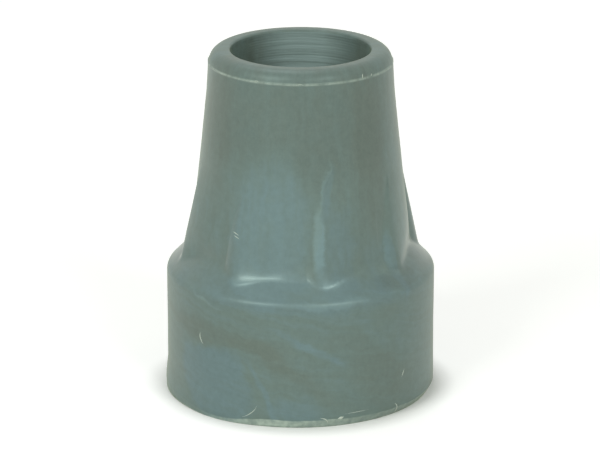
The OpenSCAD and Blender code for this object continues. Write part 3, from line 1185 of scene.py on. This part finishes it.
# %% Paths of the shavings, with their thickness as an attribute
path_points = []
path_edges = []
thicknesses = []
for thickness, places in SHAVINGS:
    first = len(path_points)
    path_points += [on_skin(*place_on_skin) for place_on_skin in places]
    path_edges += [(first + i, first + i + 1) for i in range(len(places) - 1)]
    thicknesses += [thickness * MM] * len(places)
paths = bpy.data.meshes.new("shaving_paths")
paths.from_pydata(path_points, path_edges, [])
paths.attributes.new("thickness", "FLOAT", "POINT").data.foreach_set("value", thicknesses)
shavings = bpy.data.objects.new("rubber_shavings", paths)
bpy.context.scene.collection.objects.link(shavings)
print("points on the paths:", len(path_points))

# %% Tree: a tapered tube along each path
# A shaving is 12 points long and 8 sides round, and its ends keep a fifth of its thickness.
SHAVING_SIZES = {"Steps": 12, "Sides": 8, "End Share": 0.2}
shaving_tree = new_tree("tapered_shavings", SHAVING_SIZES)
given_paths = add(shaving_tree, "NodeGroupInput").outputs
path_curves = add(shaving_tree, "GeometryNodeMeshToCurve", {"Mesh": given_paths["Geometry"]})
rounded_paths = add(
    shaving_tree, "GeometryNodeCurveSplineType",
    {"Curve": path_curves}, spline_type="CATMULL_ROM",
)
stepped = add(
    shaving_tree, "GeometryNodeResampleCurve",
    {"Curve": rounded_paths, "Count": given_paths["Steps"]},
)
along_path = add(shaving_tree, "GeometryNodeSplineParameter").outputs["Factor"]
half_wave = add(shaving_tree, "ShaderNodeMath", {0: along_path, 1: math.pi}, operation="MULTIPLY")
bulge = add(shaving_tree, "ShaderNodeMath", {0: half_wave}, operation="SINE")
fullness = add(shaving_tree, "ShaderNodeMath", {0: bulge, 1: given_paths["End Share"]}, operation="MAXIMUM")
thickness_here = add(
    shaving_tree, "GeometryNodeInputNamedAttribute",
    {"Name": "thickness"}, data_type="FLOAT",
)
radius_here = add(shaving_tree, "ShaderNodeMath", {0: thickness_here, 1: 0.5}, operation="MULTIPLY")
tapered = add(shaving_tree, "ShaderNodeMath", {0: radius_here, 1: fullness}, operation="MULTIPLY")
round_section = add(
    shaving_tree, "GeometryNodeCurvePrimitiveCircle",
    {"Resolution": given_paths["Sides"], "Radius": 1.0},
)
tubes = add(
    shaving_tree, "GeometryNodeCurveToMesh",
    {"Curve": stepped, "Profile Curve": round_section, "Scale": tapered, "Fill Caps": True},
)
smooth_tubes = add(shaving_tree, "GeometryNodeSetShadeSmooth", {"Geometry": tubes})
real_tubes = add(shaving_tree, "GeometryNodeRealizeInstances", {"Geometry": smooth_tubes})
finished_tubes = add(
    shaving_tree, "GeometryNodeSetMaterial",
    {"Geometry": real_tubes, "Material": given_paths["Material"]},
)
add(shaving_tree, "NodeGroupOutput", {"Geometry": finished_tubes})
print("nodes in the shavings' tree:", len(shaving_tree.nodes))

# %% Draw the shavings
torn_rubber, torn_paint = new_finish("torn_rubber")
torn_surface = add(
    torn_paint, "ShaderNodeBsdfPrincipled",
    {"Base Color": SHAVED_GREY, "Roughness": 0.55, "IOR": 1.52},
)
add(torn_paint, "ShaderNodeOutputMaterial", {"Surface": torn_surface})
apply_tree(shavings, shaving_tree, {**SHAVING_SIZES, "Material": torn_rubber})
print("shavings:", len(shavings.data.polygons), "faces")

# %% [markdown]
# ## Floor and backdrop
#
# The tip stands on a white sheet that is large enough to fill the view. White paper under this light would
# render a light grey. More light would bleach the rubber, so the sheet glows a little instead, but only
# where the camera, a reflection or something clear sees it. Close to the foot the glow fades, as an ambient
# occlusion node measures how much of the sky a place sees, and that paints a soft shadow on the paper round
# the foot, on top of the shadow that the lamps cast.
#
# The world is treated in the same way: seen directly it is plain white, and what it sheds on
# the tip is a weak, even light.

# %% What the camera sees, and what only gives light
def seen_directly(tree):
    """1 where a ray comes from the camera, a reflection or something clear, else 0."""
    ray = add(tree, "ShaderNodeLightPath").outputs
    camera_or_gloss = add(
        tree, "ShaderNodeMath",
        {0: ray["Is Camera Ray"], 1: ray["Is Glossy Ray"]}, operation="MAXIMUM",
    )
    return add(
        tree, "ShaderNodeMath",
        {0: camera_or_gloss, 1: ray["Is Transmission Ray"]}, operation="MAXIMUM",
    )


print("helper:", seen_directly.__name__)

# %% White paper
PAPER_GLOW = 0.42
CONTACT_GLOW = 0.07
CONTACT_REACH = 3.5
CONTACT_OPEN = 0.55
white_paper, sheet = new_finish("white_paper")
seen = seen_directly(sheet)
# Near the foot the ambient occlusion fades the glow: a painted contact shadow on the paper.
open_share = add(
    sheet, "ShaderNodeAmbientOcclusion",
    {"Distance": CONTACT_REACH * MM}, samples=16,
).outputs["AO"]
glow_with_painted_shadow = add(
    sheet, "ShaderNodeMapRange",
    {0: open_share, 1: CONTACT_OPEN, 2: 1, 3: CONTACT_GLOW, 4: PAPER_GLOW},
)
lift = add(sheet, "ShaderNodeMath", {0: seen, 1: glow_with_painted_shadow}, operation="MULTIPLY")
matt = add(sheet, "ShaderNodeBsdfDiffuse", {"Color": (0.9, 0.9, 0.9, 1)})
glow = add(sheet, "ShaderNodeEmission", {"Color": (1, 1, 1, 1), "Strength": lift})
both = add(sheet, "ShaderNodeAddShader", {0: matt, 1: glow})
add(sheet, "ShaderNodeOutputMaterial", {"Surface": both})
print("material:", white_paper.name, "with", len(sheet.nodes), "nodes")

# %% Floor, just below the tip's trimmed edge
FLOOR_SIZE = 1.6
FLOOR_DROP = 0.02
half = FLOOR_SIZE / 2
floor_corners = [(-half, -half, 0), (half, -half, 0), (half, half, 0), (-half, half, 0)]
floor_mesh = bpy.data.meshes.new("floor")
floor_mesh.from_pydata(floor_corners, [], [(0, 1, 2, 3)])
floor_mesh.materials.append(white_paper)
floor = bpy.data.objects.new("floor", floor_mesh)
bpy.context.scene.collection.objects.link(floor)
floor.location.z = -FLOOR_DROP * MM
print("floor:", FLOOR_SIZE, "m square")

# %% World: white to the eye, and a weak even light for the tip
world = bpy.data.worlds.new("white_room")
world.use_nodes = True
bpy.context.scene.world = world
sky = world.node_tree
sky.nodes.clear()
sky_seen = seen_directly(sky)
room = add(sky, "ShaderNodeBackground", {"Color": (0.97, 1.0, 0.9, 1), "Strength": 0.25})
white = add(sky, "ShaderNodeBackground", {"Color": (1, 1, 1, 1), "Strength": 1.0})
sky_mixed = add(sky, "ShaderNodeMixShader", {0: sky_seen, 1: room, 2: white})
add(sky, "ShaderNodeOutputWorld", {"Surface": sky_mixed})
print("world:", world.name, "with", len(sky.nodes), "nodes")

# %% [markdown]
# ## Lights
#
# Rubber this dark shows its form by broad highlights, so every light is a soft box. The key
# stands to the left and makes the bright leaf in the neck's root. A wide, weak box in front
# fills the foot. Two small ones at the right give the ribs there an edge. A dim, yellowish one
# skims the right side, and the top one lights the crown and the shoulder from behind. Together
# they light the tip at a plain level, so that its colours render about as they are written.

# %% Lights
# A soft box's azimuth is its angle from the front, above 0 to the right. Distance, width and
# height are in metres.
def soft_light(name, azimuth, elevation, distance, width, height, watts, colour):
    """A rectangular soft box that looks at the middle of the tip."""
    data = bpy.data.lights.new(name, "AREA")
    data.shape = "RECTANGLE"
    data.size = width
    data.size_y = height
    data.energy = watts
    data.color = colour
    light = bpy.data.objects.new(name, data)
    turn = math.radians(azimuth)
    lift = math.radians(elevation)
    aim = Vector((math.sin(turn) * math.cos(lift), -math.cos(turn) * math.cos(lift), math.sin(lift)))
    light.location = aim * distance + Vector((0, 0, CAMERA_TARGET_Z * MM))
    light.rotation_euler = aim.to_track_quat("Z", "Y").to_euler()
    bpy.context.scene.collection.objects.link(light)
    return light


soft_light("key", -40, 32, 1.3, 0.6, 0.22, 5.8, (0.97, 1.0, 0.95))
soft_light("front", -4, 40, 1.3, 1.5, 0.8, 1.9, (0.95, 1.0, 0.97))
soft_light("near_right", 22, 30, 1.2, 0.16, 0.16, 1.3, (0.98, 1.0, 0.96))
soft_light("right", 40, 32, 1.2, 0.25, 0.16, 2.2, (0.98, 1.0, 0.96))
soft_light("right_edge", 102, 27, 1.1, 0.5, 0.35, 0.45, (0.94, 1.0, 0.7))
soft_light("top", -155, 70, 1.2, 0.5, 0.5, 2.8, (1.0, 1.0, 1.0))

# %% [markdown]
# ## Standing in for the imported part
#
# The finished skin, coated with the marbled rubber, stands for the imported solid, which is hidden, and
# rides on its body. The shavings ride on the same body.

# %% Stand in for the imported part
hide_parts("cane_tip")
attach(tip, "root")
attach(shavings, "root")

bpy.context.scene.view_settings.view_transform = "Standard"
